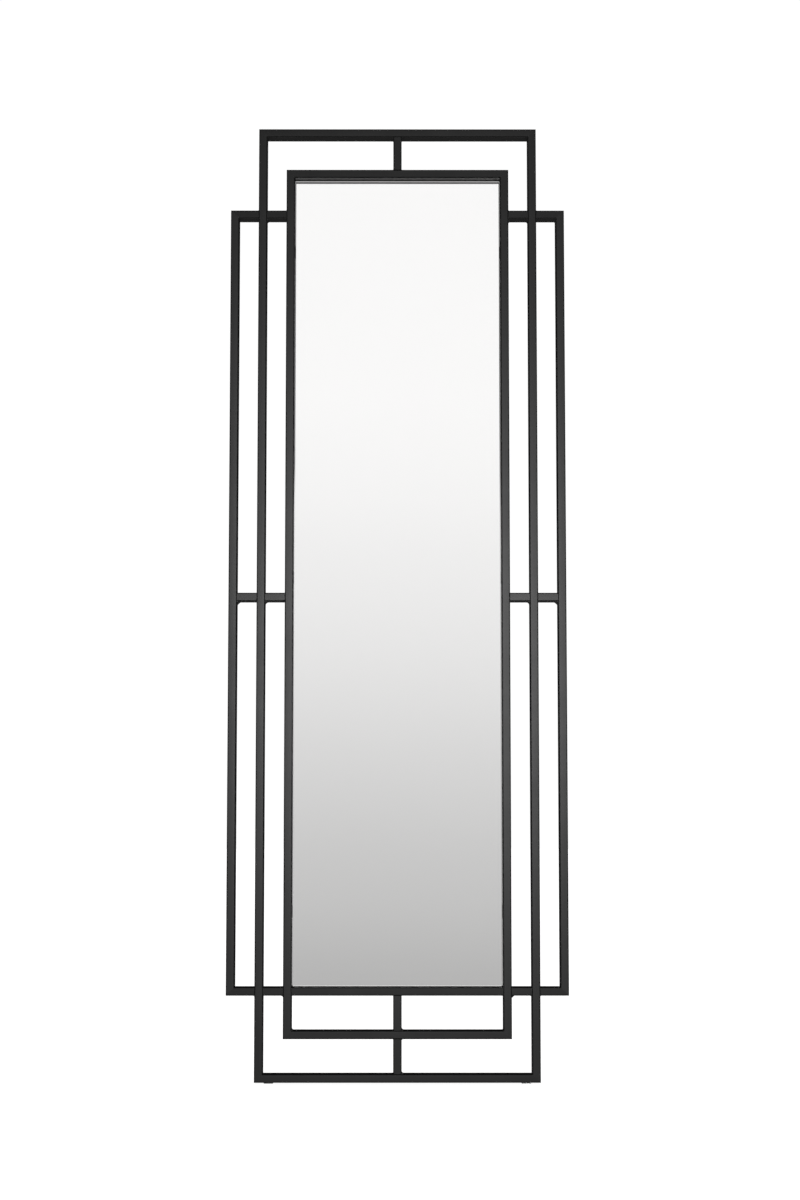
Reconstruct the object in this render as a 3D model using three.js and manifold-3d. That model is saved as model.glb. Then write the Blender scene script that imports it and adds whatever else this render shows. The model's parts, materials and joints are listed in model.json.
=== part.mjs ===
// Leaning floor mirror: three overlapping rectangles of welded rectangular steel tube, the
// innermost of which holds a tall mirror pane, set well back from the front of the tube.
//
// Millimetres, +Z up. The mirror stands upright in this file: the pane faces -Y, the wall side
// is +Y, and the origin is on the floor, midway across the width and the overall depth.

import * as THREE from 'three';
import { mergeVertices } from 'three/addons/utils/BufferGeometryUtils.js';
import Module from 'manifold-3d';

// ---------------------------------------------------------------------------------------------
// Driving dimensions
// ---------------------------------------------------------------------------------------------

// The three rectangles share one centre. Width and height are over the outside of the tube.
const TALL_W = 500, TALL_H = 1700;
const WIDE_W = 600, WIDE_H = 1400;
const INNER_W = 400, INNER_H = 1550;

// Tube section: 15 mm shows on the front, 30 mm runs front to back.
const TUBE_W = 15;
const TUBE_D = 30;
const TUBE_WALL = 1.2;
const TUBE_R = 2.0;            // outside corner radius
const TUBE_R_STEPS = 4;        // facets on each outside corner

// Pane and the narrow bevel ground along its front edges.
const GLASS_T = 4;
const GLASS_CLEARANCE = 0.5;   // between the pane and the tube all round
const BEVEL_W = 1.2;
const BEVEL_DEPTH = 0.8;

// Double-sided foam tape between pane and board.
const TAPE_W = 25;
const TAPE_T = 1;
const TAPE_END_MARGIN = 30;
const TAPE_X = [-130, 0, 130];

// Fibreboard backing, flush with the back of the tube.
const BOARD_T = 5;
const BOARD_CLEARANCE = 0.8;
const PILOT_R = 2.1;

// Steel tabs welded to the back of the tube, which the board is screwed to.
const TAB_LAP = 11;            // over the back of the tube
const TAB_REACH = 21;          // over the board
const TAB_W = 22;              // along the tube
const TAB_T = 2;
const TAB_CORNER_R = 4;
const TAB_HOLE_R = 2.3;
const TAB_HOLE_FROM_TUBE = 12;
const SIDE_TAB_INSET = 130;    // from each end of the opening to the end tabs

// Pan-head screws.
const SCREW_SHANK_R = 1.75;
const SCREW_LENGTH = 7;
const SCREW_HEAD_R = 3.8;
const SCREW_HEAD_H = 2.4;
const RECESS_SPAN = 4.2, RECESS_W = 0.85, RECESS_DEPTH = 1.3;

// Feet of an L section, whose sole is under the bottom rail and whose arm is behind it: the
// leaning mirror stands on their lower back edge. Bumpers behind the top rail reach past the
// heads of the screws.
const FOOT_W = 16, FOOT_X = 225;
const SOLE_T = 1.5, SOLE_FRONT = -9.5;      // the sole's front end, from the middle of the tube
const ARM_T = 2.2, ARM_H = 10.5;
const FOOT_EDGE_R = 1.2;
const BUMPER_R = 5.4, BUMPER_TOP_R = 4.2, BUMPER_T = 6, BUMPER_X = 205;

const GAP = 0.3;               // between pieces that touch

// ---------------------------------------------------------------------------------------------
// Derived positions. "y" here is counted from the middle of the tube depth.
// ---------------------------------------------------------------------------------------------

const FRAME_Z = SOLE_T + GAP;                   // underside of the bottom rail
const MID_Z = TALL_H / 2;                       // common centre, above the underside
const FRAME_Y = -(GAP + BUMPER_T) / 2;          // centres the overall depth on the origin
const HALF_D = TUBE_D / 2;

const OPENING_W = INNER_W - 2 * TUBE_W;         // clear width between the inner uprights
const OPENING_LOW = MID_Z - WIDE_H / 2 + TUBE_W;
const OPENING_HIGH = MID_Z + INNER_H / 2 - TUBE_W;
const OPENING_H = OPENING_HIGH - OPENING_LOW;
const OPENING_MID = (OPENING_HIGH + OPENING_LOW) / 2;

const boardBackY = HALF_D;
const boardFrontY = boardBackY - BOARD_T;
const tapeFrontY = boardFrontY - GAP - TAPE_T;
const glassBackY = tapeFrontY - GAP;            // its front is 19.4 mm behind the front of the tube
const tabFrontY = HALF_D + GAP;
const tabBackY = tabFrontY + TAB_T;
const headSeatY = tabBackY + GAP;

// ---------------------------------------------------------------------------------------------
// Materials
// ---------------------------------------------------------------------------------------------

const finish = (color, roughness, metalness) =>
  new THREE.MeshStandardMaterial({ color, roughness, metalness });

const blackCoat = () => finish(0x1f1f20, 0.42, 0.1);
const silvered = () => finish(0xe9ebea, 0.02, 1.0);
const foam = () => finish(0xf0efe9, 0.9, 0.0);
const fibreboard = () => finish(0x8a6544, 0.85, 0.0);
const zinc = () => finish(0xb9bcbf, 0.35, 0.9);
const clearPolymer = () => finish(0xe4e6e4, 0.25, 0.0);

// ---------------------------------------------------------------------------------------------
// Geometry helpers
// ---------------------------------------------------------------------------------------------

// Points round a rectangle with rounded corners, anticlockwise, centred on the origin.
function roundedRectangle(w, h, r, steps) {
  const points = [];
  const corners = [[1, 1, 0], [-1, 1, 1], [-1, -1, 2], [1, -1, 3]];
  for (const [sx, sy, quarter] of corners) {
    for (let i = 0; i <= steps; i++) {
      const a = (quarter + i / steps) * Math.PI / 2;
      points.push(new THREE.Vector2(
        sx * (w / 2 - r) + r * Math.cos(a),
        sy * (h / 2 - r) + r * Math.sin(a)));
    }
  }
  return points;
}

// A length of the tube along local Z. Local X is the 15 mm side and local Y the 30 mm depth.
// An end is square (0), or mitred at 45 degrees with its long side on +X (1) or -X (-1).
function tubeGeometry(length, startMitre = 0, endMitre = 0) {
  const section = new THREE.Shape(roundedRectangle(TUBE_W, TUBE_D, TUBE_R, TUBE_R_STEPS));
  section.holes.push(new THREE.Path(roundedRectangle(
    TUBE_W - 2 * TUBE_WALL, TUBE_D - 2 * TUBE_WALL, TUBE_R - TUBE_WALL, 1).reverse()));
  const geometry = new THREE.ExtrudeGeometry(section, { depth: length, steps: 1, bevelEnabled: false });
  const position = geometry.getAttribute('position');
  const mitreGap = GAP / 2 * Math.SQRT2;
  for (let i = 0; i < position.count; i++) {
    const x = position.getX(i), z = position.getZ(i);
    if (z < length / 2 && startMitre) position.setZ(i, TUBE_W / 2 - startMitre * x + mitreGap);
    if (z > length / 2 && endMitre) position.setZ(i, length - TUBE_W / 2 + endMitre * x - mitreGap);
  }
  geometry.computeVertexNormals();
  return geometry;
}

// An upright from z = low to z = high whose middle is at x.
function upright(name, x, low, high, startMitre, endMitre) {
  const mesh = new THREE.Mesh(tubeGeometry(high - low, startMitre, endMitre), blackCoat());
  mesh.name = name;
  mesh.position.set(x, 0, low);
  return mesh;
}

// A rail from x = left to x = right whose middle is at height z. Turned this way, local +X is down.
function rail(name, left, right, z, startMitre, endMitre) {
  const mesh = new THREE.Mesh(tubeGeometry(right - left, startMitre, endMitre), blackCoat());
  mesh.name = name;
  mesh.rotation.y = Math.PI / 2;
  mesh.position.set(left, 0, z);
  return mesh;
}

// A flat plate of an outline drawn in X and Z, from y = front to y = back.
function plateGeometry(shape, front, back, curveSegments = 12) {
  const geometry = new THREE.ExtrudeGeometry(shape, { depth: back - front, steps: 1, bevelEnabled: false, curveSegments });
  geometry.rotateX(Math.PI / 2);      // shape Y to world Z, extrusion to -Y
  geometry.translate(0, back, 0);
  return geometry;
}

function circularHole(x, z, r) {
  const hole = new THREE.Path();
  hole.absarc(x, z, r, 0, Math.PI * 2, true);
  return hole;
}

// ---------------------------------------------------------------------------------------------
// Welded frame
// ---------------------------------------------------------------------------------------------

const half = (w) => w / 2 - TUBE_W / 2;
const tallLow = 0, tallHigh = TALL_H;
const wideLow = MID_Z - WIDE_H / 2, wideHigh = MID_Z + WIDE_H / 2;
const innerLow = MID_Z - INNER_H / 2, innerHigh = MID_Z + INNER_H / 2;

// Tall rectangle: the one that stands on the floor. Four tubes, mitred at the corners.
const tallFrame = new THREE.Group();
tallFrame.add(
  upright('tall_frame_left_upright', -half(TALL_W), tallLow, tallHigh, -1, -1),
  upright('tall_frame_right_upright', half(TALL_W), tallLow, tallHigh, 1, 1),
  rail('tall_frame_top_rail', -TALL_W / 2, TALL_W / 2, tallHigh - TUBE_W / 2, -1, -1),
  rail('tall_frame_bottom_rail', -TALL_W / 2, TALL_W / 2, tallLow + TUBE_W / 2, 1, 1));

// Wide rectangle: its rails are cut where they meet the uprights of the other two rectangles.
// Its top rail stops at the inner uprights, and its bottom rail runs on below the pane.
const tallOuter = TALL_W / 2, tallInner = TALL_W / 2 - TUBE_W;
const innerOuter = INNER_W / 2, innerInner = INNER_W / 2 - TUBE_W;
const wideInner = WIDE_W / 2 - TUBE_W;
const wideTopZ = wideHigh - TUBE_W / 2, wideBottomZ = wideLow + TUBE_W / 2;

const wideFrame = new THREE.Group();
wideFrame.add(
  upright('wide_frame_left_upright', -half(WIDE_W), wideLow, wideHigh, -1, -1),
  upright('wide_frame_right_upright', half(WIDE_W), wideLow, wideHigh, 1, 1),
  rail('wide_frame_top_rail_left_outer', -WIDE_W / 2, -tallOuter - GAP, wideTopZ, -1, 0),
  rail('wide_frame_top_rail_left_inner', -tallInner + GAP, -innerOuter - GAP, wideTopZ, 0, 0),
  rail('wide_frame_top_rail_right_inner', innerOuter + GAP, tallInner - GAP, wideTopZ, 0, 0),
  rail('wide_frame_top_rail_right_outer', tallOuter + GAP, WIDE_W / 2, wideTopZ, 0, -1),
  rail('wide_frame_bottom_rail_left_outer', -WIDE_W / 2, -tallOuter - GAP, wideBottomZ, 1, 0),
  rail('wide_frame_bottom_rail_left_inner', -tallInner + GAP, -innerOuter - GAP, wideBottomZ, 0, 0),
  rail('wide_frame_bottom_rail_centre', -innerInner + GAP, innerInner - GAP, wideBottomZ, 0, 0),
  rail('wide_frame_bottom_rail_right_inner', innerOuter + GAP, tallInner - GAP, wideBottomZ, 0, 0),
  rail('wide_frame_bottom_rail_right_outer', tallOuter + GAP, WIDE_W / 2, wideBottomZ, 0, 1));

// Inner rectangle: it holds the pane.
const innerFrame = new THREE.Group();
innerFrame.add(
  upright('inner_frame_left_upright', -half(INNER_W), innerLow, innerHigh, -1, -1),
  upright('inner_frame_right_upright', half(INNER_W), innerLow, innerHigh, 1, 1),
  rail('inner_frame_top_rail', -INNER_W / 2, INNER_W / 2, innerHigh - TUBE_W / 2, -1, -1),
  rail('inner_frame_bottom_rail', -INNER_W / 2, INNER_W / 2, innerLow + TUBE_W / 2, 1, 1));

// Half-way struts, outer and inner on each side.
const struts = new THREE.Group();
struts.add(
  rail('mid_strut_left_outer', -wideInner + GAP, -tallOuter - GAP, MID_Z, 0, 0),
  rail('mid_strut_left_inner', -tallInner + GAP, -innerOuter - GAP, MID_Z, 0, 0),
  rail('mid_strut_right_inner', innerOuter + GAP, tallInner - GAP, MID_Z, 0, 0),
  rail('mid_strut_right_outer', tallOuter + GAP, wideInner - GAP, MID_Z, 0, 0));

// Short spacers on the centre line, one above the pane and two below it.
struts.add(
  upright('top_spacer', 0, innerHigh + GAP, tallHigh - TUBE_W - GAP, 0, 0),
  upright('lower_spacer_upper', 0, innerLow + TUBE_W + GAP, wideLow - GAP, 0, 0),
  upright('lower_spacer_lower', 0, tallLow + TUBE_W + GAP, innerLow - GAP, 0, 0));

// ---------------------------------------------------------------------------------------------
// Mirror panel
// ---------------------------------------------------------------------------------------------

const panel = new THREE.Group();

// Pane: a sheet whose front arris is ground back to a flat bevel all round.
{
  const w = OPENING_W - 2 * GLASS_CLEARANCE, h = OPENING_H - 2 * GLASS_CLEARANCE;
  const outline = new THREE.Shape([
    new THREE.Vector2(w / 2, h / 2), new THREE.Vector2(-w / 2, h / 2),
    new THREE.Vector2(-w / 2, -h / 2), new THREE.Vector2(w / 2, -h / 2)]);
  const geometry = new THREE.ExtrudeGeometry(outline, { depth: GLASS_T, steps: 2, bevelEnabled: false });
  const position = geometry.getAttribute('position');
  for (let i = 0; i < position.count; i++) {
    const x = position.getX(i), y = position.getY(i), z = position.getZ(i);
    if (z > 0.75 * GLASS_T) {
      position.setX(i, x - Math.sign(x) * BEVEL_W);
      position.setY(i, y - Math.sign(y) * BEVEL_W);
    } else if (z > 0.25 * GLASS_T) {
      position.setZ(i, GLASS_T - BEVEL_DEPTH);
    }
  }
  geometry.computeVertexNormals();
  geometry.rotateX(Math.PI / 2);      // the bevelled side ends up facing -Y
  const pane = new THREE.Mesh(geometry, silvered());
  pane.name = 'mirror_glass';
  pane.position.set(0, glassBackY, OPENING_MID);
  panel.add(pane);
}

// Strips of foam tape, top to bottom.
['foam_tape_left', 'foam_tape_centre', 'foam_tape_right'].forEach((name, i) => {
  const strip = new THREE.Mesh(
    new THREE.BoxGeometry(TAPE_W, TAPE_T, OPENING_H - 2 * TAPE_END_MARGIN), foam());
  strip.name = name;
  strip.position.set(TAPE_X[i], tapeFrontY + TAPE_T / 2, OPENING_MID);
  panel.add(strip);
});

// Where each tab is welded: the edge of the opening that it crosses, and the direction it points.
const tabs = [];
[['lower', OPENING_LOW + SIDE_TAB_INSET], ['middle', OPENING_MID], ['upper', OPENING_HIGH - SIDE_TAB_INSET]]
  .forEach(([level, z]) => {
    tabs.push({ where: 'left_' + level, x: -OPENING_W / 2, z, turn: 0 });
    tabs.push({ where: 'right_' + level, x: OPENING_W / 2, z, turn: Math.PI });
  });
tabs.push({ where: 'top', x: 0, z: OPENING_HIGH, turn: Math.PI / 2 });
tabs.push({ where: 'bottom', x: 0, z: OPENING_LOW, turn: -Math.PI / 2 });
for (const t of tabs) {
  t.holeX = t.x + TAB_HOLE_FROM_TUBE * Math.cos(t.turn);
  t.holeZ = t.z - TAB_HOLE_FROM_TUBE * Math.sin(t.turn);
}

// Backing board with a pilot hole at each tab.
{
  const w = OPENING_W - 2 * BOARD_CLEARANCE, h = OPENING_H - 2 * BOARD_CLEARANCE;
  const outline = new THREE.Shape(roundedRectangle(w, h, 3, 3).map((p) => new THREE.Vector2(p.x, p.y + OPENING_MID)));
  for (const t of tabs) outline.holes.push(circularHole(t.holeX, t.holeZ, PILOT_R));
  const board = new THREE.Mesh(plateGeometry(outline, boardFrontY, boardBackY), fibreboard());
  board.name = 'backing_board';
  panel.add(board);
}

// Tabs: a flat plate, square on the tube and round-cornered over the board, with one screw hole.
function tabGeometry() {
  const s = new THREE.Shape();
  const w = TAB_W / 2, r = TAB_CORNER_R;
  s.moveTo(-TAB_LAP, -w);
  s.lineTo(TAB_REACH - r, -w);
  s.absarc(TAB_REACH - r, -w + r, r, -Math.PI / 2, 0, false);
  s.absarc(TAB_REACH - r, w - r, r, 0, Math.PI / 2, false);
  s.lineTo(-TAB_LAP, w);
  s.closePath();
  s.holes.push(circularHole(TAB_HOLE_FROM_TUBE, 0, TAB_HOLE_R));
  return plateGeometry(s, tabFrontY, tabBackY, 6);
}

for (const t of tabs) {
  const tab = new THREE.Mesh(tabGeometry(), blackCoat());
  tab.name = 'tab_' + t.where;
  tab.position.set(t.x, 0, t.z);
  tab.rotation.y = t.turn;
  panel.add(tab);
}

// Pan-head screw with a cross recess: seat of the head at y = 0, point towards -Y.
const wasm = await Module();
wasm.setup();

function toSolid(geometry) {
  const bare = geometry.clone();
  bare.deleteAttribute('normal');
  bare.deleteAttribute('uv');
  const merged = mergeVertices(bare, 1e-4);
  return new wasm.Manifold(new wasm.Mesh({
    numProp: 3,
    vertProperties: new Float32Array(merged.getAttribute('position').array),
    triVerts: new Uint32Array(merged.index.array),
  }));
}

function toGeometry(solid) {
  const m = solid.getMesh();
  const geometry = new THREE.BufferGeometry();
  geometry.setAttribute('position', new THREE.BufferAttribute(new Float32Array(m.vertProperties), 3));
  geometry.setIndex(new THREE.BufferAttribute(new Uint32Array(m.triVerts), 1));
  geometry.computeVertexNormals();
  return geometry;
}

function screwGeometry() {
  const profile = [
    [0, -SCREW_LENGTH], [SCREW_SHANK_R * 0.3, -SCREW_LENGTH + 0.3], [SCREW_SHANK_R, -SCREW_LENGTH + 1.8],
    [SCREW_SHANK_R, 0], [SCREW_HEAD_R, 0], [SCREW_HEAD_R, SCREW_HEAD_H * 0.45],
    [SCREW_HEAD_R * 0.86, SCREW_HEAD_H * 0.8], [SCREW_HEAD_R * 0.55, SCREW_HEAD_H], [0, SCREW_HEAD_H],
  ].map(([r, y]) => new THREE.Vector2(r, y));
  let solid = toSolid(new THREE.LatheGeometry(profile, 20));
  for (const turn of [0, Math.PI / 2]) {
    const slot = new THREE.BoxGeometry(RECESS_SPAN, RECESS_DEPTH * 2, RECESS_W);
    slot.rotateY(turn);
    slot.translate(0, SCREW_HEAD_H, 0);
    solid = solid.subtract(toSolid(slot));
  }
  return toGeometry(solid);
}

const screwShape = screwGeometry();
tabs.forEach((t, i) => {
  const screw = new THREE.Mesh(screwShape.clone(), zinc());
  screw.name = 'screw_' + t.where;
  screw.position.set(t.holeX, headSeatY, t.holeZ);
  screw.rotation.y = 0.35 + i * 0.61;      // each screw stops at its own angle
  panel.add(screw);
});

// ---------------------------------------------------------------------------------------------
// Feet and wall bumpers
// ---------------------------------------------------------------------------------------------

const feet = new THREE.Group();

function footGeometry() {
  const back = HALF_D + GAP + ARM_T, low = -GAP - SOLE_T;
  const bend = TUBE_R + GAP, r = FOOT_EDGE_R;
  const s = new THREE.Shape();        // drawn in Y and Z, from the underside of the rail
  s.moveTo(SOLE_FRONT + 0.5, low);
  s.lineTo(back - r, low);
  s.absarc(back - r, low + r, r, -Math.PI / 2, 0, false);
  s.lineTo(back, ARM_H - 1);
  s.absarc(back - 1, ARM_H - 1, 1, 0, Math.PI / 2, false);
  s.lineTo(HALF_D + GAP, ARM_H);
  s.lineTo(HALF_D + GAP, TUBE_R);
  s.absarc(HALF_D - TUBE_R, TUBE_R, bend, 0, -Math.PI / 2, true);
  s.lineTo(SOLE_FRONT, -GAP);
  s.lineTo(SOLE_FRONT, low + 0.5);
  s.closePath();
  const geometry = new THREE.ExtrudeGeometry(s, { depth: FOOT_W, steps: 1, bevelEnabled: false, curveSegments: 5 });
  geometry.translate(0, 0, -FOOT_W / 2);
  geometry.applyMatrix4(new THREE.Matrix4().makeBasis(
    new THREE.Vector3(0, 1, 0), new THREE.Vector3(0, 0, 1), new THREE.Vector3(1, 0, 0)));
  return geometry;
}

for (const [name, x] of [['floor_foot_left', -FOOT_X], ['floor_foot_right', FOOT_X]]) {
  const foot = new THREE.Mesh(footGeometry(), clearPolymer());
  foot.name = name;
  foot.position.set(x, 0, 0);
  feet.add(foot);
}

for (const [name, x] of [['wall_bumper_left', -BUMPER_X], ['wall_bumper_right', BUMPER_X]]) {
  const geometry = new THREE.LatheGeometry([
    [0, 0], [BUMPER_R, 0], [BUMPER_R, BUMPER_T * 0.55], [BUMPER_R - 0.25, BUMPER_T * 0.85],
    [BUMPER_R - 0.6, BUMPER_T * 0.95], [BUMPER_TOP_R, BUMPER_T], [0, BUMPER_T],
  ].map(([r, y]) => new THREE.Vector2(r, y)), 24);
  const bumper = new THREE.Mesh(geometry, clearPolymer());
  bumper.name = name;
  bumper.position.set(x, HALF_D + GAP, tallHigh - TUBE_W / 2);
  feet.add(bumper);
}

// ---------------------------------------------------------------------------------------------
// Whole mirror
// ---------------------------------------------------------------------------------------------

const mirror = new THREE.Group();
mirror.add(tallFrame, wideFrame, innerFrame, struts, panel, feet);
mirror.position.set(0, FRAME_Y, FRAME_Z);

const part = new THREE.Group();
part.add(mirror);

export default part;
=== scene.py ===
import json
import math

import bmesh
import bpy
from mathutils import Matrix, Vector, noise

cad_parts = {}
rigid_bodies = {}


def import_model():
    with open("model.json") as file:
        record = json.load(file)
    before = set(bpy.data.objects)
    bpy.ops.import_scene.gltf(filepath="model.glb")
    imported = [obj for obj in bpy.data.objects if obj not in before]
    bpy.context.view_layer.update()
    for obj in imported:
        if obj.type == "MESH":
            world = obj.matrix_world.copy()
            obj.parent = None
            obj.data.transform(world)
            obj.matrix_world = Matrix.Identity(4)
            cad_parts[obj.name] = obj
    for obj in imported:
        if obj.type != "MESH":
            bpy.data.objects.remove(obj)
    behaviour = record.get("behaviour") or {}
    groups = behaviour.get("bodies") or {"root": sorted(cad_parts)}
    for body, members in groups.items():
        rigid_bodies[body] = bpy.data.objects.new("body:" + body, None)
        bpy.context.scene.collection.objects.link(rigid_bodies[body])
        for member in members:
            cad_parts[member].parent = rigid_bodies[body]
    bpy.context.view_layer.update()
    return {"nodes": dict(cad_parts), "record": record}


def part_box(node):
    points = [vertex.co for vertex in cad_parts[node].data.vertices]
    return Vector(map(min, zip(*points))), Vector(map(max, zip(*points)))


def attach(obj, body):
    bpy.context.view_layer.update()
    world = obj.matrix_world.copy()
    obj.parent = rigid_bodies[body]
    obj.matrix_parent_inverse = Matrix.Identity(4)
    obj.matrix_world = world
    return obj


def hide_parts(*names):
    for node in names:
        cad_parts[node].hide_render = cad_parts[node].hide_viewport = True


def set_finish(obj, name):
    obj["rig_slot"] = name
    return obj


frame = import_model()
nodes = frame["nodes"]
scene = bpy.context.scene

MM = 0.001
TUBE_W = 15 * MM  # seen from the front
TUBE_D = 30 * MM  # front to back
TUBE_R = 2.0 * MM  # rolled corner
GAP = 0.3 * MM  # weld gap between tubes


# ------------------------------------------------------------------ small helpers
def link(obj):
    scene.collection.objects.link(obj)
    return obj


def new_mesh(name, bm, smooth_angle=None):
    bmesh.ops.recalc_face_normals(bm, faces=bm.faces)
    mesh = bpy.data.meshes.new(name)
    bm.to_mesh(mesh)
    bm.free()
    if smooth_angle is not None:
        mesh.polygons.foreach_set("use_smooth", [True] * len(mesh.polygons))
        mesh.set_sharp_from_angle(angle=math.radians(smooth_angle))
    return link(bpy.data.objects.new(name, mesh))


def material(name):
    mat = bpy.data.materials.new(name)
    mat.use_nodes = True
    tree = mat.node_tree
    tree.nodes.clear()
    out = tree.nodes.new("ShaderNodeOutputMaterial")
    bsdf = tree.nodes.new("ShaderNodeBsdfPrincipled")
    tree.links.new(bsdf.outputs[0], out.inputs["Surface"])
    return mat, tree, bsdf


def node(tree, kind, inputs=None, **props):
    n = tree.nodes.new(kind)
    for k, v in props.items():
        setattr(n, k, v)
    for k, v in (inputs or {}).items():
        n.inputs[k].default_value = v
    return n


def object_coords(tree, scale=(1, 1, 1)):
    tc = node(tree, "ShaderNodeTexCoord")
    mp = node(tree, "ShaderNodeMapping", {"Scale": scale})
    tree.links.new(tc.outputs["Object"], mp.inputs["Vector"])
    return mp.outputs["Vector"]


def noise_tex(tree, vector, scale, detail=3.0, roughness=0.5, distortion=0.0):
    n = node(
        tree,
        "ShaderNodeTexNoise",
        {
            "Scale": scale,
            "Detail": detail,
            "Roughness": roughness,
            "Distortion": distortion,
        },
    )
    tree.links.new(vector, n.inputs["Vector"])
    return n.outputs["Fac"]


def ramp(tree, fac, stops, interpolation="LINEAR"):
    r = node(tree, "ShaderNodeValToRGB")
    cr = r.color_ramp
    cr.interpolation = interpolation
    cr.elements[0].position, cr.elements[1].position = stops[0][0], stops[-1][0]
    cr.elements[0].color = colour(stops[0][1])
    cr.elements[-1].color = colour(stops[-1][1])
    for p, c in stops[1:-1]:
        cr.elements.new(p).color = colour(c)
    tree.links.new(fac, r.inputs["Fac"])
    return r.outputs["Color"]


def colour(c):
    if isinstance(c, (int, float)):
        return (c, c, c, 1.0)
    return (*c, 1.0)


def remap(tree, value, lo, hi, to_lo, to_hi, smooth=False):
    n = node(
        tree,
        "ShaderNodeMapRange",
        {"From Min": lo, "From Max": hi, "To Min": to_lo, "To Max": to_hi},
        interpolation_type="SMOOTHSTEP" if smooth else "LINEAR",
    )
    tree.links.new(value, n.inputs["Value"])
    return n.outputs["Result"]


def math_node(tree, operation, a, b=None):
    n = node(tree, "ShaderNodeMath", operation=operation)
    for socket, v in zip(n.inputs, (a, b)):
        if v is None:
            continue
        if isinstance(v, (int, float)):
            socket.default_value = v
        else:
            tree.links.new(v, socket)
    return n.outputs[0]


def bump(tree, bsdf, height, strength, distance, onto=None):
    n = node(tree, "ShaderNodeBump", {"Strength": strength, "Distance": distance})
    tree.links.new(height, n.inputs["Height"])
    if onto is not None:
        tree.links.new(onto, n.inputs["Normal"])
    tree.links.new(n.outputs["Normal"], bsdf.inputs["Normal"])
    return n.outputs["Normal"]


# ------------------------------------------------------------------ camera
camera_data = bpy.data.cameras.new("camera")
camera_data.sensor_width = 36.0
camera_data.lens = 72.172
camera_data.clip_start, camera_data.clip_end = 0.05, 300.0
camera = link(bpy.data.objects.new("camera", camera_data))
camera.location = (-0.0025, -4.2663, 0.4359)
camera.rotation_euler = (math.pi / 2 + 0.09629, 0.0, -0.00166)
scene.camera = camera

scene.view_settings.view_transform = "Standard"
scene.view_settings.look = "None"


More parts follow.
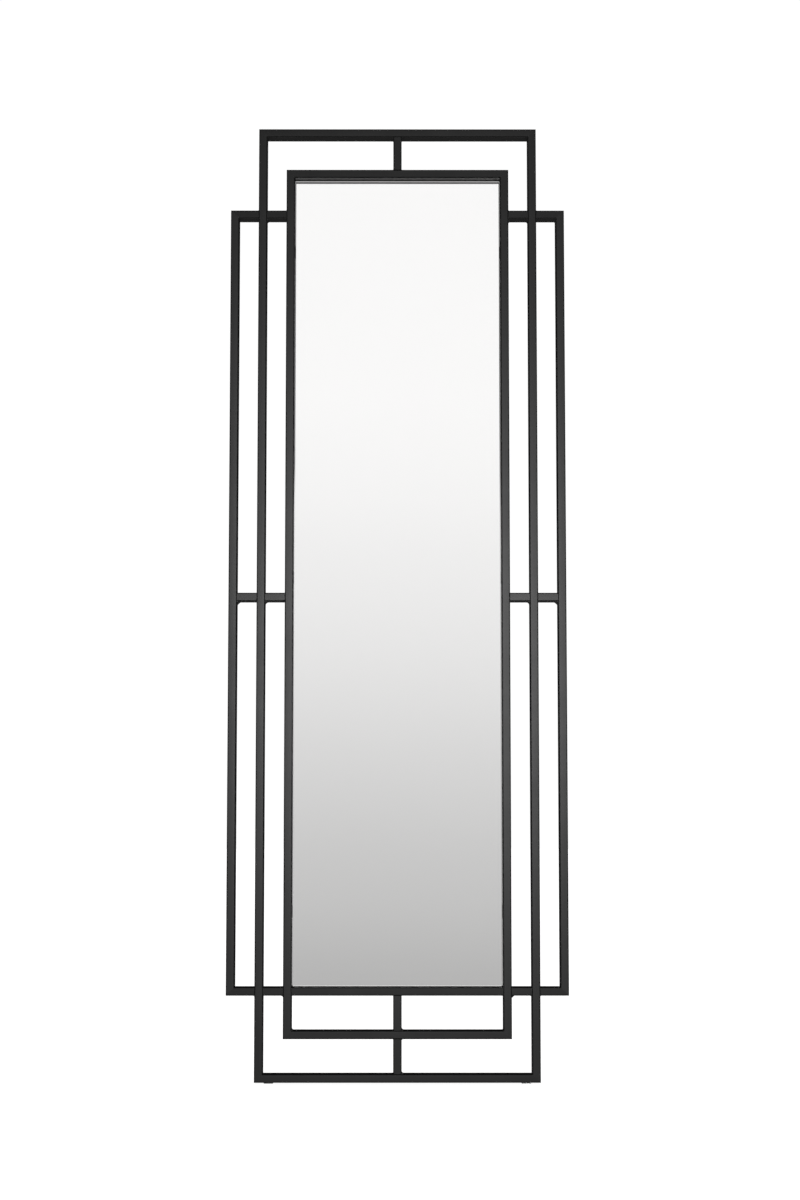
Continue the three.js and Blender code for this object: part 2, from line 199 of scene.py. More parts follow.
# ------------------------------------------------------------------ studio
# What the camera sees past the object is white. What lights it, and shows in the
# pane, is a studio in directions: a tall card in front, bright above and falling
# off towards a pale floor, walls in half-dark, dark behind, soft light overhead.
def build_world():
    world = bpy.data.worlds.new("studio")
    world.use_nodes = True
    scene.world = world
    t = world.node_tree
    t.nodes.clear()
    out = node(t, "ShaderNodeOutputWorld")
    tc = node(t, "ShaderNodeTexCoord")
    sep = node(t, "ShaderNodeSeparateXYZ")
    t.links.new(tc.outputs["Generated"], sep.inputs[0])
    deg = 180.0 / math.pi
    el = math_node(t, "MULTIPLY", math_node(t, "ARCSINE", sep.outputs["Z"]), deg)
    back = math_node(t, "MULTIPLY", sep.outputs["Y"], -1.0)
    az = math_node(
        t, "MULTIPLY", math_node(t, "ARCTAN2", sep.outputs["X"], back), deg
    )
    az_abs = math_node(t, "ABSOLUTE", az)

    def between(value, lo, hi, to_lo, to_hi):
        """A smooth step from one level to another, any of its four ends a socket or a number."""
        n = node(t, "ShaderNodeMapRange", interpolation_type="SMOOTHSTEP")
        for key, v in (
            ("Value", value),
            ("From Min", lo),
            ("From Max", hi),
            ("To Min", to_lo),
            ("To Max", to_hi),
        ):
            if isinstance(v, (int, float)):
                n.inputs[key].default_value = v
            else:
                t.links.new(v, n.inputs[key])
        return n.outputs["Result"]

    # the card, by elevation in degrees
    card = [
        (-10, 0.500),
        (-6, 0.485),
        (-3.5, 0.499),
        (-2.6, 0.540),
        (-1.6, 0.576),
        (-0.4, 0.617),
        (0.8, 0.672),
        (2.0, 0.726),
        (3.1, 0.781),
        (4.3, 0.835),
        (5.5, 0.877),
        (6.7, 0.912),
        (7.9, 0.955),
        (9.1, 0.982),
        (10.3, 1.0),
        (17.5, 1.0),
        (20, 0.70),
        (24, 0.22),
        (32, 0.10),
    ]
    lo, hi = -10.0, 32.0
    card_v = ramp(
        t,
        remap(t, el, lo, hi, 0.0, 1.0),
        [((e - lo) / (hi - lo), v) for e, v in card],
    )
    # it is narrow above and wide below
    high = between(el, 6.0, 10.5, 0.0, 1.0)
    left = between(
        az,
        between(high, 0.0, 1.0, -34.0, -12.0),
        between(high, 0.0, 1.0, -9.0, -4.0),
        between(high, 0.0, 1.0, 0.16, 0.03),
        1.0,
    )
    right = between(
        az,
        between(high, 0.0, 1.0, 24.0, 5.0),
        between(high, 0.0, 1.0, 44.0, 13.0),
        1.0,
        0.06,
    )
    sides = math_node(t, "MULTIPLY", left, right)
    front = math_node(t, "MULTIPLY", card_v, sides)

    # walls, brighter far overhead, and hardly any light from straight behind
    overhead = between(el, 16.0, 34.0, 0.0, 1.0)
    turned = between(az_abs, 60.0, 110.0, 0.0, 1.0)
    top = math_node(t, "MULTIPLY", overhead, between(turned, 0.0, 1.0, 0.10, 1.25))
    top = math_node(t, "MAXIMUM", top, between(el, 45.0, 65.0, 0.0, 0.75))
    wall = math_node(t, "ADD", top, 0.05)
    keep = between(az_abs, 30.0, 60.0, 1.0, 0.0)
    room = math_node(
        t,
        "ADD",
        math_node(t, "MULTIPLY", front, keep),
        math_node(
            t, "MULTIPLY", wall, math_node(t, "SUBTRACT", 1.0, math_node(t, "MULTIPLY", keep, sides))
        ),
    )

    # the pale floor, all round
    away = between(az_abs, 16.0, 44.0, 0.0, 1.0)
    rear = between(az_abs, 92.0, 118.0, 0.0, 1.0)
    floor_in = between(
        el,
        between(rear, 0.0, 1.0, between(away, 0.0, 1.0, -1.5, -12.0), -1.0),
        between(rear, 0.0, 1.0, between(away, 0.0, 1.0, -6.0, -31.0), -9.0),
        0.0,
        1.0,
    )
    floor_v = between(el, -10.0, -55.0, 0.47, 0.62)
    total = math_node(
        t,
        "ADD",
        math_node(t, "MULTIPLY", room, math_node(t, "SUBTRACT", 1.0, floor_in)),
        math_node(t, "MULTIPLY", floor_v, floor_in),
    )
    wedge = between(az_abs, 143.0, 168.0, 0.0, 1.0)
    level = between(math_node(t, "ABSOLUTE", el), 22.0, 44.0, 1.0, 0.0)
    depth = between(el, -11.0, -19.0, 0.03, 0.13)
    behind = between(math_node(t, "MULTIPLY", wedge, level), 0.0, 1.0, 1.0, depth)
    total = math_node(t, "MULTIPLY", total, behind)
    card_at_side = math_node(
        t,
        "MULTIPLY",
        between(math_node(t, "ABSOLUTE", math_node(t, "SUBTRACT", az_abs, 95.0)), 6.0, 16.0, 1.0, 0.0),
        between(math_node(t, "ABSOLUTE", math_node(t, "SUBTRACT", el, 4.0)), 8.0, 26.0, 0.45, 0.0),
    )
    total = math_node(t, "MAXIMUM", total, card_at_side)

    # straight ahead, over the card, it is dark too, and the floor near by is dimmer
    middle = between(math_node(t, "ABSOLUTE", sep.outputs["X"]), 0.36, 0.58, 1.0, 0.0)
    over = math_node(t, "MULTIPLY", middle, between(el, 22.0, 30.0, 0.0, 1.0))
    ahead = between(sep.outputs["Y"], 0.0, -0.3, 0.0, 1.0)
    under = math_node(t, "MULTIPLY", middle, between(el, -24.0, -40.0, 0.0, 1.0))
    under = math_node(t, "MULTIPLY", under, ahead)
    total = math_node(t, "MULTIPLY", total, between(over, 0.0, 1.0, 1.0, 0.05))
    total = math_node(t, "MULTIPLY", total, between(under, 0.0, 1.0, 1.0, 0.15))

    tint = node(t, "ShaderNodeCombineColor")
    t.links.new(total, tint.inputs[0])
    for i in (1, 2):
        t.links.new(math_node(t, "MULTIPLY", total, 0.990), tint.inputs[i])

    studio = node(t, "ShaderNodeBackground", {"Strength": 1.0})
    t.links.new(tint.outputs[0], studio.inputs["Color"])
    white = node(
        t, "ShaderNodeBackground", {"Color": (1, 1, 1, 1), "Strength": 1.02}
    )
    path = node(t, "ShaderNodeLightPath")
    mix = node(t, "ShaderNodeMixShader")
    t.links.new(path.outputs["Is Camera Ray"], mix.inputs["Fac"])
    t.links.new(studio.outputs[0], mix.inputs[1])
    t.links.new(white.outputs[0], mix.inputs[2])
    t.links.new(mix.outputs[0], out.inputs["Surface"])


build_world()


def build_floor():
    bm = bmesh.new()
    bmesh.ops.create_grid(bm, x_segments=8, y_segments=8, size=60.0)
    floor = new_mesh("floor", bm)
    mat, t, bsdf = material("pale_floor")
    v = object_coords(t)
    speck = noise_tex(t, v, 9.0, detail=4.0)
    col = ramp(t, speck, [(0.0, (0.78, 0.78, 0.78)), (1.0, (0.84, 0.84, 0.84))])
    t.links.new(col, bsdf.inputs["Base Color"])
    bsdf.inputs["Roughness"].default_value = 0.9
    bsdf.inputs["Specular IOR Level"].default_value = 0.0
    bsdf.inputs["Emission Color"].default_value = (1, 1, 1, 1)
    bsdf.inputs["Emission Strength"].default_value = 0.93
    floor.data.materials.append(mat)
    floor.visible_glossy = False
    floor.visible_diffuse = False
    floor.visible_transmission = False
    floor.visible_shadow = False
    return floor


floor = build_floor()


# ------------------------------------------------------------------ materials
def black_coat():
    """Satin black powder coat: a fine orange peel, a little unevenness of shine."""
    mat, t, bsdf = material("black_coat_satin")
    v = object_coords(t)
    broad = noise_tex(t, v, 14.0, detail=3.0)
    peel = noise_tex(t, v, 620.0, detail=2.0, roughness=0.45)
    grain = noise_tex(t, v, 2600.0, detail=2.0)
    mix = math_node(t, "MULTIPLY", broad, 0.6)
    mix = math_node(t, "ADD", mix, math_node(t, "MULTIPLY", grain, 0.4))
    col = ramp(t, mix, [(0.3, (0.0080, 0.0081, 0.0083)), (0.7, (0.0120, 0.0121, 0.0123))])
    t.links.new(col, bsdf.inputs["Base Color"])
    t.links.new(remap(t, mix, 0.3, 0.7, 0.30, 0.36), bsdf.inputs["Roughness"])
    bsdf.inputs["IOR"].default_value = 1.5
    bsdf.inputs["Specular IOR Level"].default_value = 0.3
    first = bump(t, bsdf, grain, 0.25, 0.000006)
    bump(t, bsdf, peel, 0.35, 0.00003, onto=first)
    return mat


def silver():
    mat, t, bsdf = material("silvering")
    v = object_coords(t)
    haze = noise_tex(t, v, 6.0, detail=2.0)
    col = ramp(t, haze, [(0.3, (0.950, 0.953, 0.950)), (0.7, (0.953, 0.956, 0.953))])
    t.links.new(col, bsdf.inputs["Base Color"])
    bsdf.inputs["Metallic"].default_value = 1.0
    bsdf.inputs["Roughness"].default_value = 0.0
    return mat


def clear_glass():
    mat, t, bsdf = material("pane_glass")
    v = object_coords(t)
    haze = noise_tex(t, v, 30.0, detail=4.0)
    col = ramp(t, haze, [(0.3, (0.996, 1.0, 0.998)), (0.7, (0.998, 1.0, 0.999))])
    t.links.new(col, bsdf.inputs["Base Color"])
    bsdf.inputs["Roughness"].default_value = 0.0
    bsdf.inputs["IOR"].default_value = 1.52
    bsdf.inputs["Transmission Weight"].default_value = 1.0
    return mat


def ground_edge():
    mat, t, bsdf = material("ground_glass_edge")
    v = object_coords(t)
    fine = noise_tex(t, v, 1500.0, detail=3.0)
    col = ramp(t, fine, [(0.3, (0.30, 0.36, 0.33)), (0.7, (0.42, 0.48, 0.45))])
    t.links.new(col, bsdf.inputs["Base Color"])
    t.links.new(remap(t, fine, 0.3, 0.7, 0.42, 0.6), bsdf.inputs["Roughness"])
    bump(t, bsdf, fine, 0.4, 0.00002)
    return mat


def back_paint():
    mat, t, bsdf = material("mirror_back_paint")
    v = object_coords(t)
    flow = noise_tex(t, v, 22.0, detail=4.0, distortion=0.4)
    peel = noise_tex(t, v, 420.0, detail=2.0)
    col = ramp(t, flow, [(0.3, (0.060, 0.066, 0.072)), (0.7, (0.085, 0.092, 0.098))])
    t.links.new(col, bsdf.inputs["Base Color"])
    t.links.new(remap(t, peel, 0.3, 0.7, 0.45, 0.6), bsdf.inputs["Roughness"])
    bump(t, bsdf, peel, 0.3, 0.00003)
    return mat


def fibreboard():
    """Hard fibreboard: pressed brown fibre with darker and paler flecks."""
    mat, t, bsdf = material("pressed_fibreboard")
    v = object_coords(t)
    mottled = noise_tex(t, v, 60.0, detail=5.0, roughness=0.6)
    fibre_a = noise_tex(t, object_coords(t, (1.0, 1.0, 0.16)), 900.0, detail=3.0)
    fibre_b = noise_tex(t, object_coords(t, (0.16, 1.0, 1.0)), 900.0, detail=3.0)
    fleck = node(t, "ShaderNodeTexVoronoi", {"Scale": 420.0, "Randomness": 1.0})
    t.links.new(object_coords(t, (0.5, 1.0, 1.0)), fleck.inputs["Vector"])
    fibres = math_node(t, "MAXIMUM", fibre_a, fibre_b)
    base = ramp(
        t,
        math_node(
            t,
            "ADD",
            math_node(t, "MULTIPLY", mottled, 0.45),
            math_node(t, "MULTIPLY", fibres, 0.55),
        ),
        [(0.36, (0.155, 0.088, 0.042)), (0.52, (0.255, 0.152, 0.078)), (0.66, (0.36, 0.235, 0.130))],
    )
    dark = ramp(t, fleck.outputs["Distance"], [(0.05, 0.62), (0.16, 1.0)])
    mix = node(t, "ShaderNodeMix", data_type="RGBA", blend_type="MULTIPLY")
    mix.inputs["Factor"].default_value = 0.7
    t.links.new(base, mix.inputs["A"])
    t.links.new(dark, mix.inputs["B"])
    t.links.new(mix.outputs["Result"], bsdf.inputs["Base Color"])
    t.links.new(remap(t, mottled, 0.3, 0.7, 0.72, 0.9), bsdf.inputs["Roughness"])
    bump(t, bsdf, fibres, 0.45, 0.00009)
    return mat


def foam_tape():
    mat, t, bsdf = material("foam_tape_cells")
    v = object_coords(t)
    cells = node(t, "ShaderNodeTexVoronoi", {"Scale": 2600.0, "Randomness": 1.0})
    t.links.new(v, cells.inputs["Vector"])
    tone = noise_tex(t, v, 45.0)
    col = ramp(t, tone, [(0.3, (0.70, 0.69, 0.62)), (0.7, (0.80, 0.79, 0.73))])
    t.links.new(col, bsdf.inputs["Base Color"])
    t.links.new(
        remap(t, cells.outputs["Distance"], 0.0, 0.6, 0.95, 0.8),
        bsdf.inputs["Roughness"],
    )
    bump(t, bsdf, cells.outputs["Distance"], 0.5, 0.00015)
    return mat


def zinc():
    """Bright zinc plating with turning marks and a faint straw and blue bloom."""
    mat, t, bsdf = material("zinc_plated_steel")
    v = object_coords(t)
    bloom = noise_tex(t, v, 180.0, detail=3.0, distortion=0.6)
    marks = noise_tex(t, object_coords(t, (1.0, 4.0, 1.0)), 2400.0, detail=3.0)
    col = ramp(
        t,
        bloom,
        [(0.3, (0.62, 0.64, 0.68)), (0.5, (0.70, 0.70, 0.69)), (0.7, (0.72, 0.69, 0.60))],
    )
    t.links.new(col, bsdf.inputs["Base Color"])
    bsdf.inputs["Metallic"].default_value = 1.0
    t.links.new(remap(t, marks, 0.3, 0.7, 0.24, 0.42), bsdf.inputs["Roughness"])
    bump(t, bsdf, marks, 0.3, 0.00002)
    return mat


def clear_rubber():
    """Clear soft polymer, faintly milky, with a moulded skin."""
    mat, t, bsdf = material("clear_soft_polymer")
    v = object_coords(t)
    cloud = noise_tex(t, v, 260.0, detail=3.0)
    skin = noise_tex(t, v, 1400.0, detail=2.0)
    col = ramp(t, cloud, [(0.3, (0.86, 0.88, 0.87)), (0.7, (0.94, 0.95, 0.94))])
    t.links.new(col, bsdf.inputs["Base Color"])
    t.links.new(remap(t, skin, 0.3, 0.7, 0.10, 0.18), bsdf.inputs["Roughness"])
    bsdf.inputs["IOR"].default_value = 1.45
    bsdf.inputs["Transmission Weight"].default_value = 0.93
    bump(t, bsdf, skin, 0.10, 0.00001)
    return mat


COAT = black_coat()
SILVER = silver()
GLASS = clear_glass()
EDGE = ground_edge()
PAINT = back_paint()
FINISH = {
    "black_coat": COAT,
    "mirror_pane": SILVER,
    "foam_tape": foam_tape(),
    "fibreboard": fibreboard(),
    "zinc_steel": zinc(),
    "clear_rubber": clear_rubber(),
}
slot_of = {s["node"]: s["material_slot"] for s in frame["record"]["subparts"]}


def smooth_group(name, degrees):
    """Joins the split corners of a carried-over mesh and smooths it over edges flatter than this."""
    g = bpy.data.node_groups.new(name, "GeometryNodeTree")
    g.is_modifier = True
    g.interface.new_socket("Geometry", in_out="INPUT", socket_type="NodeSocketGeometry")
    g.interface.new_socket("Geometry", in_out="OUTPUT", socket_type="NodeSocketGeometry")
    n, l = g.nodes, g.links
    gin, gout = n.new("NodeGroupInput"), n.new("NodeGroupOutput")
    weld = n.new("GeometryNodeMergeByDistance")
    weld.inputs["Distance"].default_value = 2e-6
    drop = n.new("GeometryNodeRemoveAttribute")
    drop.inputs["Name"].default_value = "custom_normal"
    smooth = n.new("GeometryNodeSetShadeSmooth")
    smooth.domain = "FACE"
    smooth.inputs["Shade Smooth"].default_value = True
    angle = n.new("GeometryNodeInputMeshEdgeAngle")
    over = n.new("FunctionNodeCompare")
    over.data_type, over.operation = "FLOAT", "GREATER_THAN"
    over.inputs[1].default_value = math.radians(degrees)
    sharp = n.new("GeometryNodeSetShadeSmooth")
    sharp.domain = "EDGE"
    sharp.inputs["Shade Smooth"].default_value = False
    l.new(gin.outputs[0], weld.inputs["Geometry"])
    l.new(weld.outputs[0], drop.inputs["Geometry"])
    l.new(drop.outputs[0], smooth.inputs["Geometry"])
    l.new(smooth.outputs[0], sharp.inputs["Geometry"])
    l.new(angle.outputs["Unsigned Angle"], over.inputs[0])
    l.new(over.outputs[0], sharp.inputs["Selection"])
    l.new(sharp.outputs[0], gout.inputs[0])
    return g


SMOOTH = smooth_group("smooth_rolled_corners", 32)

for name, obj in nodes.items():
    slot = slot_of[name]
    for s in obj.material_slots:
        s.material = FINISH[slot]
    if slot in ("black_coat", "zinc_steel", "clear_rubber"):
        m = obj.modifiers.new("smooth", "NODES")
        m.node_group = SMOOTH
        w = obj.modifiers.new("flat_faces", "WEIGHTED_NORMAL")
        w.mode = "FACE_AREA"
        w.weight = 100
        w.keep_sharp = True


# ------------------------------------------------------------------ mirror pane
def build_pane():
    """Clear plate with a ground bevel round its front, the silvering on its back, and
    the protective paint behind that as a thin sheet of its own."""
    lo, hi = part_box("mirror_glass")
    y_front, y_back = lo.y, hi.y - 0.10 * MM
    bevel_w, bevel_d, arris = 1.2 * MM, 0.8 * MM, 0.15 * MM
    # rings from the middle of the front out, round the edge and to the back
    rings = [
        (bevel_w, y_front, 0),
        (arris, y_front + bevel_d, 0),
        (0.0, y_front + bevel_d + arris, 1),
        (0.0, y_back - arris, 1),
        (arris, y_back, 1),
    ]
    bm = bmesh.new()
    loops = []
    for inset, y, _ in rings:
        x0, x1, z0, z1 = lo.x + inset, hi.x - inset, lo.z + inset, hi.z - inset
        loops.append(
            [bm.verts.new(p) for p in ((x0, y, z0), (x1, y, z0), (x1, y, z1), (x0, y, z1))]
        )
    bm.faces.new(loops[0]).material_index = 0
    for k in range(len(rings) - 1):
        a, b = loops[k], loops[k + 1]
        for i in range(4):
            j = (i + 1) % 4
            f = bm.faces.new((a[i], a[j], b[j], b[i]))
            f.material_index = rings[k + 1][2]
    bm.faces.new(loops[-1]).material_index = 2
    pane = new_mesh("mirror_plate", bm)
    for m in (GLASS, EDGE, SILVER):
        pane.data.materials.append(m)
    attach(pane, "root")
    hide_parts("mirror_glass")
    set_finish(pane, "mirror_pane")

    bm = bmesh.new()
    inset = arris + 0.15 * MM
    x0, x1, z0, z1 = lo.x + inset, hi.x - inset, lo.z + inset, hi.z - inset
    y0, y1 = y_back + 0.015 * MM, hi.y
    c = [(x0, z0), (x1, z0), (x1, z1), (x0, z1)]
    front = [bm.verts.new((x, y0, z)) for x, z in c]
    back = [bm.verts.new((x, y1, z)) for x, z in c]
    bm.faces.new(front)
    bm.faces.new(back)
    for i in range(4):
        j = (i + 1) % 4
        bm.faces.new((front[i], front[j], back[j], back[i]))
    paint = new_mesh("mirror_back_coat", bm)
    paint.data.materials.append(PAINT)
    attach(paint, "root")
    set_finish(paint, "mirror_pane")
    return pane, paint


pane, pane_paint = build_pane()


# ------------------------------------------------------------------ welds
Y0, Y1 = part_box("tall_frame_left_upright")[0].y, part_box("tall_frame_left_upright")[1].y


def bead(bm, x, z, sx, sz, leg_x, leg_z, hollow=0.35, seed=0.0):
    """A weld fillet in the corner at (x, z), running front to back. sx, sz point along
    the two tubes; leg_x, leg_z are its sizes on them; hollow dishes its face."""
    steps, arc = 26, 6
    inside = 0.25 * MM
    rings = []
    for i in range(steps + 1):
        f = i / steps
        y = Y0 + 0.35 * MM + (Y1 - Y0 - 0.7 * MM) * f
        end = min(f, 1 - f) * (Y1 - Y0)
        taper = 0.55 + 0.45 * math.sin(min(1.0, end / (3.2 * MM)) * math.pi / 2)
        if i in (0, steps):
            taper *= 0.72
        ripple = 1.0 + 0.045 * math.sin(f * 62.0 + seed * 5.0)
        wander = 1.0 + 0.14 * noise.noise(Vector((seed * 3.7, f * 3.2, 1.3)))
        k = taper * ripple * wander
        lx, lz = leg_x * k, leg_z * k
        pts = [(-inside, -inside), (lx, -inside)]
        for j in range(arc + 1):
            u = j / arc
            px, pz = lx * (1 - u), lz * u
            dip = hollow * math.sin(math.pi * u) * 0.5 * min(lx, lz) * 0.7071
            pts.append((px - dip * 0.7071, pz - dip * 0.7071))
        pts.append((-inside, lz))
        rings.append([bm.verts.new((x + sx * px, y, z + sz * pz)) for px, pz in pts])
    n = len(rings[0])
    for a, b in zip(rings, rings[1:]):
        for i in range(n):
            j = (i + 1) % n
            bm.faces.new((a[i], a[j], b[j], b[i]))
    bm.faces.new(rings[0])
    bm.faces.new(rings[-1])


def section(inset=0.04 * MM, seg=6):
    """Outline of the tube's cross-section as (across, y), slightly inside its faces."""
    w, r = TUBE_W / 2 - inset, TUBE_R - inset
    y0, y1 = Y0 + inset, Y1 - inset
    out = []
    for cx, cy, a0 in (
        (w - r, y0 + r, -90),
        (w - r, y1 - r, 0),
        (-w + r, y1 - r, 90),
        (-w + r, y0 + r, 180),
    ):
        for k in range(seg + 1):
            a = math.radians(a0 + 90 * k / seg)
            out.append((cx + r * math.cos(a), cy + r * math.sin(a)))
    return out


def slab(bm, place):
    """Two copies of the section, set by place(across, y, end), joined into a closed root of weld metal."""
    pts = section()
    a = [bm.verts.new(place(u, y, 0)) for u, y in pts]
    b = [bm.verts.new(place(u, y, 1)) for u, y in pts]
    n = len(pts)
    for i in range(n):
        j = (i + 1) % n
        bm.faces.new((a[i], a[j], b[j], b[i]))
    bm.faces.new(a)
    bm.faces.new(b)


ROOT = GAP + 0.10 * MM


def butt_h(bm, x, z, s):
    """Root of a rail or strut that ends at x against an upright on its s side (s = +1: the upright is to the right)."""
    x0 = x - s * 0.05 * MM
    slab(bm, lambda u, y, e: (x0 + s * ROOT * e, y, z + u))


def butt_v(bm, x, z, s):
    """Root of a spacer that ends at z against a rail above (s = +1) or below it."""
    z0 = z - s * 0.05 * MM
    slab(bm, lambda u, y, e: (x + u, y, z0 + s * ROOT * e))


def mitre(bm, xc, zc, sx, sz):
    """Root of a mitred corner whose middle is (xc, zc); sx, sz point out of the frame."""
    t = ROOT / 2 / math.sqrt(2)
    edge = TUBE_W / 2 - 0.04 * MM

    def place(u, y, e):
        o = (2 * e - 1) * t
        a, b = (max(-edge, min(edge, v)) for v in (u + o, u - o))
        return xc + sx * a, y, zc + sz * b

    slab(bm, place)


def weld_object(name, build):
    bm = bmesh.new()
    build(bm)
    obj = new_mesh(name, bm, smooth_angle=40)
    obj.data.materials.append(COAT)
    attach(obj, "root")
    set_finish(obj, "black_coat")
    return obj


def rect(prefix):
    """Outer corners of a rectangle of tube, from its uprights' boxes: x0, x1, z0, z1."""
    l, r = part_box(prefix + "_left_upright"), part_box(prefix + "_right_upright")
    t, b = (
        (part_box(prefix + "_top_rail"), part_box(prefix + "_bottom_rail"))
        if prefix + "_top_rail" in nodes
        else (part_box(prefix + "_top_rail_left_outer"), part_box(prefix + "_bottom_rail_left_outer"))
    )
    return l[0].x, r[1].x, b[0].z, t[1].z


TALL, WIDE, INNER = rect("tall_frame"), rect("wide_frame"), rect("inner_frame")
H = TUBE_W / 2


def corners(bm, r):
    x0, x1, z0, z1 = r
    mitre(bm, x0 + H, z0 + H, -1, -1)
    mitre(bm, x1 - H, z0 + H, 1, -1)
    mitre(bm, x0 + H, z1 - H, -1, 1)
    mitre(bm, x1 - H, z1 - H, 1, 1)


def build_corner_welds(bm):
    for r in (TALL, WIDE, INNER):
        corners(bm, r)
    x0, x1, z0, z1 = INNER
    bead(bm, x0 + 2 * H, z0 + 2 * H, 1, 1, 3.0 * MM, 3.0 * MM, 0.55, 11)
    bead(bm, x1 - 2 * H, z0 + 2 * H, -1, 1, 1.7 * MM, 1.7 * MM, 0.55, 12)
    x0, x1, z0, z1 = WIDE
    bead(bm, x1 - 2 * H, z1 - 2 * H, -1, -1, 1.3 * MM, 1.3 * MM, 0.4, 13)


weld_object("corner_welds", build_corner_welds)

# where each cut rail or strut meets an upright: node, end (-1 left, +1 right), and the
# leg in mm of the fillet over and under it
RAIL_WELDS = [
    ("wide_frame_top_rail_left_outer", 1, 0.7, 1.1),
    ("wide_frame_top_rail_left_inner", -1, 1.2, 2.9),
    ("wide_frame_top_rail_left_inner", 1, 0.7, 1.1),
    ("wide_frame_top_rail_right_inner", -1, 1.3, 4.0),
    ("wide_frame_top_rail_right_inner", 1, 1.1, 3.1),
    ("wide_frame_top_rail_right_outer", -1, 0.8, 1.2),
    ("mid_strut_left_outer", -1, 0.7, 5.0),
    ("mid_strut_left_outer", 1, 0.7, 1.0),
    ("mid_strut_left_inner", -1, 0.8, 4.2),
    ("mid_strut_left_inner", 1, 0.7, 1.1),
    ("mid_strut_right_inner", -1, 0.7, 1.0),
    ("mid_strut_right_inner", 1, 0.7, 4.0),
    ("mid_strut_right_outer", -1, 0.7, 1.0),
    ("mid_strut_right_outer", 1, 0.7, 5.0),
    ("wide_frame_bottom_rail_left_outer", 1, 0.7, 2.2),
    ("wide_frame_bottom_rail_left_inner", -1, 0.7, 0.9),
    ("wide_frame_bottom_rail_left_inner", 1, 0.7, 3.4),
    ("wide_frame_bottom_rail_centre", -1, 0.6, 1.8),
    ("wide_frame_bottom_rail_centre", 1, 0.6, 2.4),
    ("wide_frame_bottom_rail_right_inner", -1, 0.7, 4.9),
    ("wide_frame_bottom_rail_right_inner", 1, 0.7, 3.2),
    ("wide_frame_bottom_rail_right_outer", -1, 0.7, 1.3),
]
SPACER_WELDS = [  # node, end (-1 lower, +1 upper), leg on its left and on its right
    ("top_spacer", -1, 0.9, 0.7),
    ("top_spacer", 1, 0.7, 0.7),
    ("lower_spacer_upper", -1, 0.8, 3.4),
    ("lower_spacer_upper", 1, 0.7, 0.8),
    ("lower_spacer_lower", -1, 0.7, 3.2),
    ("lower_spacer_lower", 1, 0.7, 2.3),
]


def build_rail_welds(bm):
    for i, (name, end, over, under) in enumerate(RAIL_WELDS):
        lo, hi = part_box(name)
        x = hi.x if end > 0 else lo.x
        xf = x + end * GAP  # the upright's face
        butt_h(bm, x, (lo.z + hi.z) / 2, end)
        for leg, z, sz in ((over, hi.z, 1), (under, lo.z, -1)):
            flat = 0.15 if leg > 4.5 else 0.5
            bead(bm, xf, z, -end, sz, leg * MM, leg * MM * 0.92, flat, i * 2.3 + sz)


def build_spacer_welds(bm):
    for i, (name, end, left, right) in enumerate(SPACER_WELDS):
        lo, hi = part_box(name)
        z = hi.z if end > 0 else lo.z
        zf = z + end * GAP
        butt_v(bm, (lo.x + hi.x) / 2, z, end)
        for leg, x, sx in ((left, lo.x, -1), (right, hi.x, 1)):
            bead(bm, x, zf, sx, -end, leg * MM, leg * MM, 0.5, 50 + i * 2.3 + sx)


def stitch(bm, at, along, out, length, leg, rise, seed):
    """A weld fillet on the back of the tube, along the edge of a tab. at is its middle as
    (x, z); along and out are directions in x and z; leg is its size on the tube and rise
    its size up the tab's edge."""
    steps, arc = 18, 5
    root = 0.05 * MM
    rings = []
    for i in range(steps + 1):
        f = i / steps
        s = (f - 0.5) * length
        end = min(f, 1 - f) * length
        taper = 0.5 + 0.5 * math.sin(min(1.0, end / (2.2 * MM)) * math.pi / 2)
        ripple = 1.0 + 0.05 * math.sin(f * 34.0 + seed)
        k = taper * ripple * (1.0 + 0.12 * noise.noise(Vector((seed, f * 3.0, 4.7))))
        w, h = leg * k, rise * k
        pts = [(-root, -root), (w, -root)]
        for j in range(arc + 1):
            u = j / arc
            swell = 0.16 * min(w, h) * math.sin(math.pi * u)
            pts.append((w * (1 - u) + swell * 0.7071, h * u + swell * 0.7071))
        pts.append((-root, h))
        rings.append(
            [
                bm.verts.new(
                    (at[0] + along[0] * s + out[0] * o, Y1 + y, at[1] + along[1] * s + out[1] * o)
                )
                for o, y in pts
            ]
        )
    n = len(rings[0])
    for a, b in zip(rings, rings[1:]):
        for i in range(n):
            j = (i + 1) % n
            bm.faces.new((a[i], a[j], b[j], b[i]))
    bm.faces.new(rings[0])
    bm.faces.new(rings[-1])


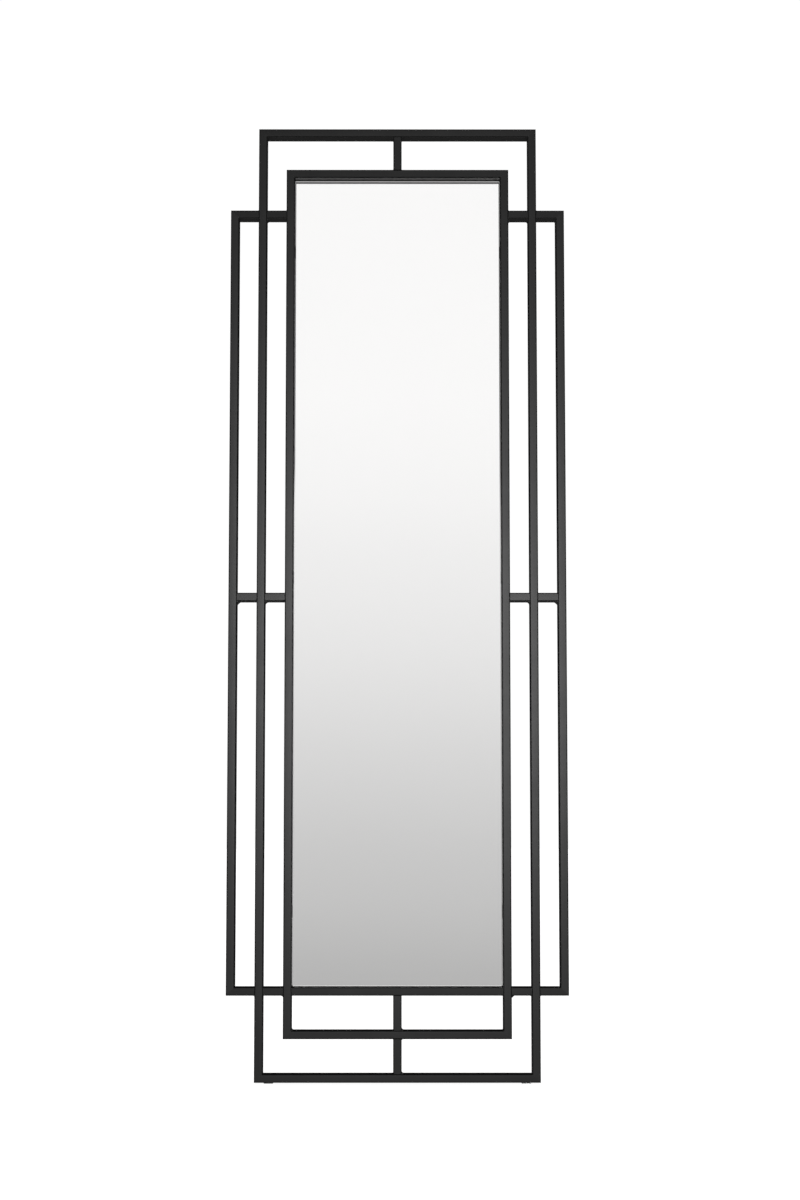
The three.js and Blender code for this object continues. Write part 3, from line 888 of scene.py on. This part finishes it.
def build_tab_welds(bm):
    rise = 1.9 * MM
    for i, name in enumerate(sorted(n for n in nodes if n.startswith("tab_"))):
        lo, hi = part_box(name)
        cx, cz = (lo.x + hi.x) / 2, (lo.z + hi.z) / 2
        lap = 5.4 * MM  # from the tab's end to the middle of the stitches at its sides
        if "left" in name or "right" in name:
            s = -1 if "left" in name else 1
            end = lo.x if s < 0 else hi.x
            stitch(bm, (end, cz), (0, 1), (s, 0), 13 * MM, 1.5 * MM, rise, i * 1.7)
            for side, edge in ((-1, lo.z), (1, hi.z)):
                stitch(bm, (end - s * lap, edge), (1, 0), (0, side), 7.5 * MM, 1.6 * MM, rise, i * 1.7 + side)
        else:
            s = 1 if "top" in name else -1
            end = hi.z if s > 0 else lo.z
            stitch(bm, (cx, end), (1, 0), (0, s), 13 * MM, 1.5 * MM, rise, i * 1.7)
            for side, edge in ((-1, lo.x), (1, hi.x)):
                stitch(bm, (edge, end - s * lap), (0, 1), (side, 0), 7.5 * MM, 1.6 * MM, rise, i * 1.7 + side)


weld_object("tab_welds", build_tab_welds)
weld_object("rail_welds", build_rail_welds)
weld_object("spacer_welds", build_spacer_welds)


# ------------------------------------------------------------------ lamps
def softbox(name, place, aim, size, power, receivers):
    data = bpy.data.lights.new(name, "AREA")
    data.shape = "RECTANGLE"
    data.size, data.size_y = size
    data.energy = power
    obj = link(bpy.data.objects.new(name, data))
    obj.location = place
    obj.rotation_euler = (Vector(aim) - Vector(place)).to_track_quat("-Z", "Y").to_euler()
    coll = bpy.data.collections.new(name + "_lights")
    for r in receivers:
        coll.objects.link(r)
    obj.light_linking.receiver_collection = coll
    obj.visible_camera = False
    return obj


def shown(slots):
    out = [o for n, o in nodes.items() if slot_of[n] in slots]
    return out + [
        o for o in scene.objects if o.get("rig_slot") in slots and o.type == "MESH"
    ]


painted = shown(("black_coat",))
high = [o for n, o in nodes.items() if "top_rail" in n]
low = [o for n, o in nodes.items() if "bottom_rail" in n]
painted = [o for o in painted if o not in high and o not in low]
softbox("front_softbox", (0.12, -4.4, 1.08), (0.0, 0.0, 0.75), (1.3, 1.05), 51.0, painted)
softbox("high_softbox", (0.12, -4.4, 2.90), (0.0, 0.0, 1.65), (1.3, 0.8), 6.4, high)
softbox("low_softbox", (0.12, -4.4, -0.04), (0.0, 0.0, 0.1), (1.3, 0.8), 9.8, low)
rear = shown(("fibreboard", "zinc_steel", "foam_tape", "clear_rubber")) + [
    pane_paint
] + [o for n, o in nodes.items() if n.startswith("tab_")]
softbox("rear_softbox", (1.2, 3.2, 2.4), (0.0, 0.0, 0.9), (1.6, 1.6), 90.0, rear)
